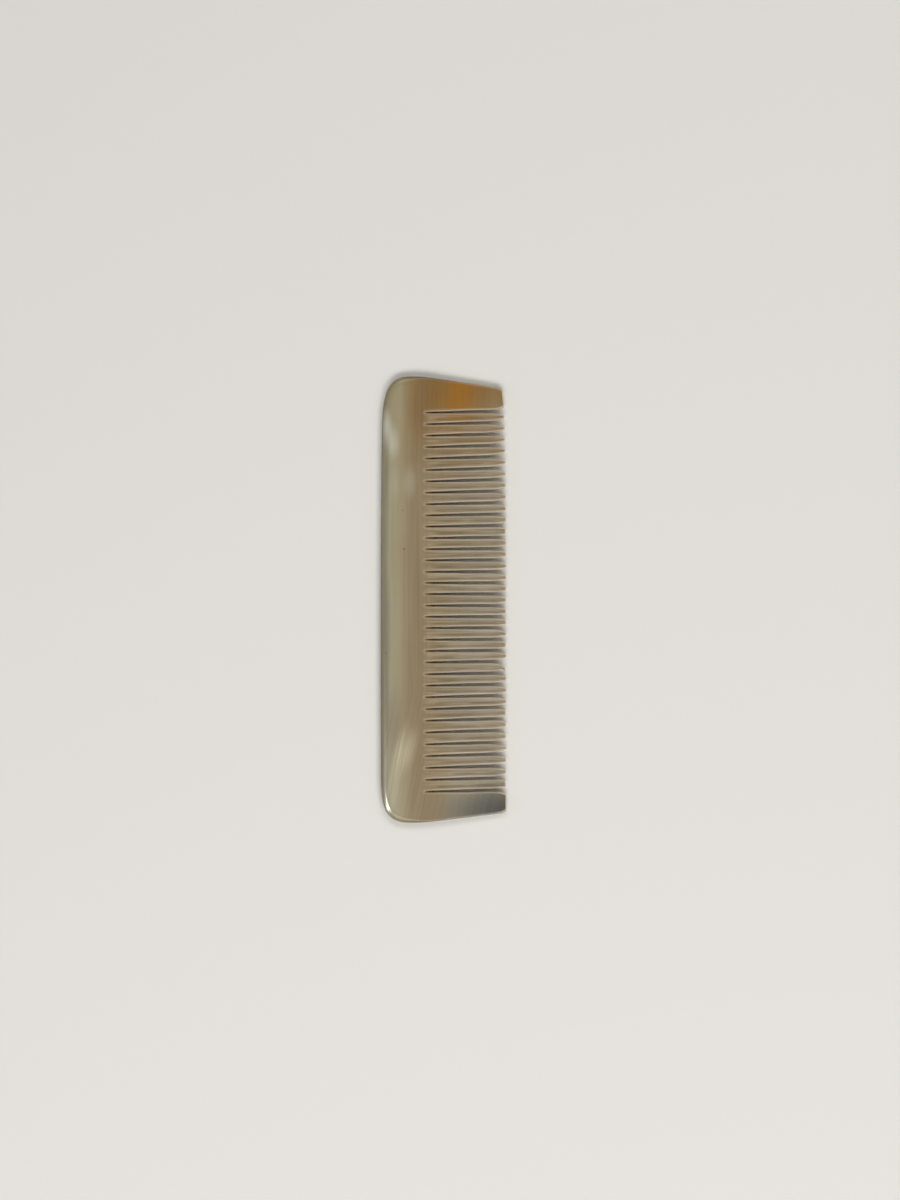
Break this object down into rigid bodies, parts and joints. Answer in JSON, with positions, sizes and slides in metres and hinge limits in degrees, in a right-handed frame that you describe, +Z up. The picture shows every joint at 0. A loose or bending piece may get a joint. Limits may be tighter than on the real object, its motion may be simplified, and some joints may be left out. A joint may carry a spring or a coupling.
{
  "type": "hair comb",
  "caption": "Flat one-piece pocket comb in polished blond horn: a gently bowed back with rounded corners, two broad end teeth and a row of even, round-tipped teeth between them.",
  "frame": {"origin": "under the middle of the comb's bounding box, on the flat face that it lies on", "axes": "+Y along the comb, towards the end whose corner is rounder; +X from the back to the tips of the teeth; +Z up through its thickness"},
  "size_m": [0.0366, 0.13, 0.0034],
  "materials": {
    "horn": null
  },
  "bodies": {
    "root": {"back": "horn", "end_tooth_first": "horn", "tooth_01": "horn", "tooth_02": "horn", "tooth_03": "horn", "tooth_04": "horn", "tooth_05": "horn", "tooth_06": "horn", "tooth_07": "horn", "tooth_08": "horn", "tooth_09": "horn", "tooth_10": "horn", "tooth_11": "horn", "tooth_12": "horn", "tooth_13": "horn", "tooth_14": "horn", "tooth_15": "horn", "tooth_16": "horn", "tooth_17": "horn", "tooth_18": "horn", "tooth_19": "horn", "tooth_20": "horn", "tooth_21": "horn", "tooth_22": "horn", "tooth_23": "horn", "tooth_24": "horn", "tooth_25": "horn", "tooth_26": "horn", "tooth_27": "horn", "tooth_28": "horn", "tooth_29": "horn", "tooth_30": "horn", "tooth_31": "horn", "tooth_32": "horn", "tooth_33": "horn", "end_tooth_last": "horn"}
  },
  "joints": []
}
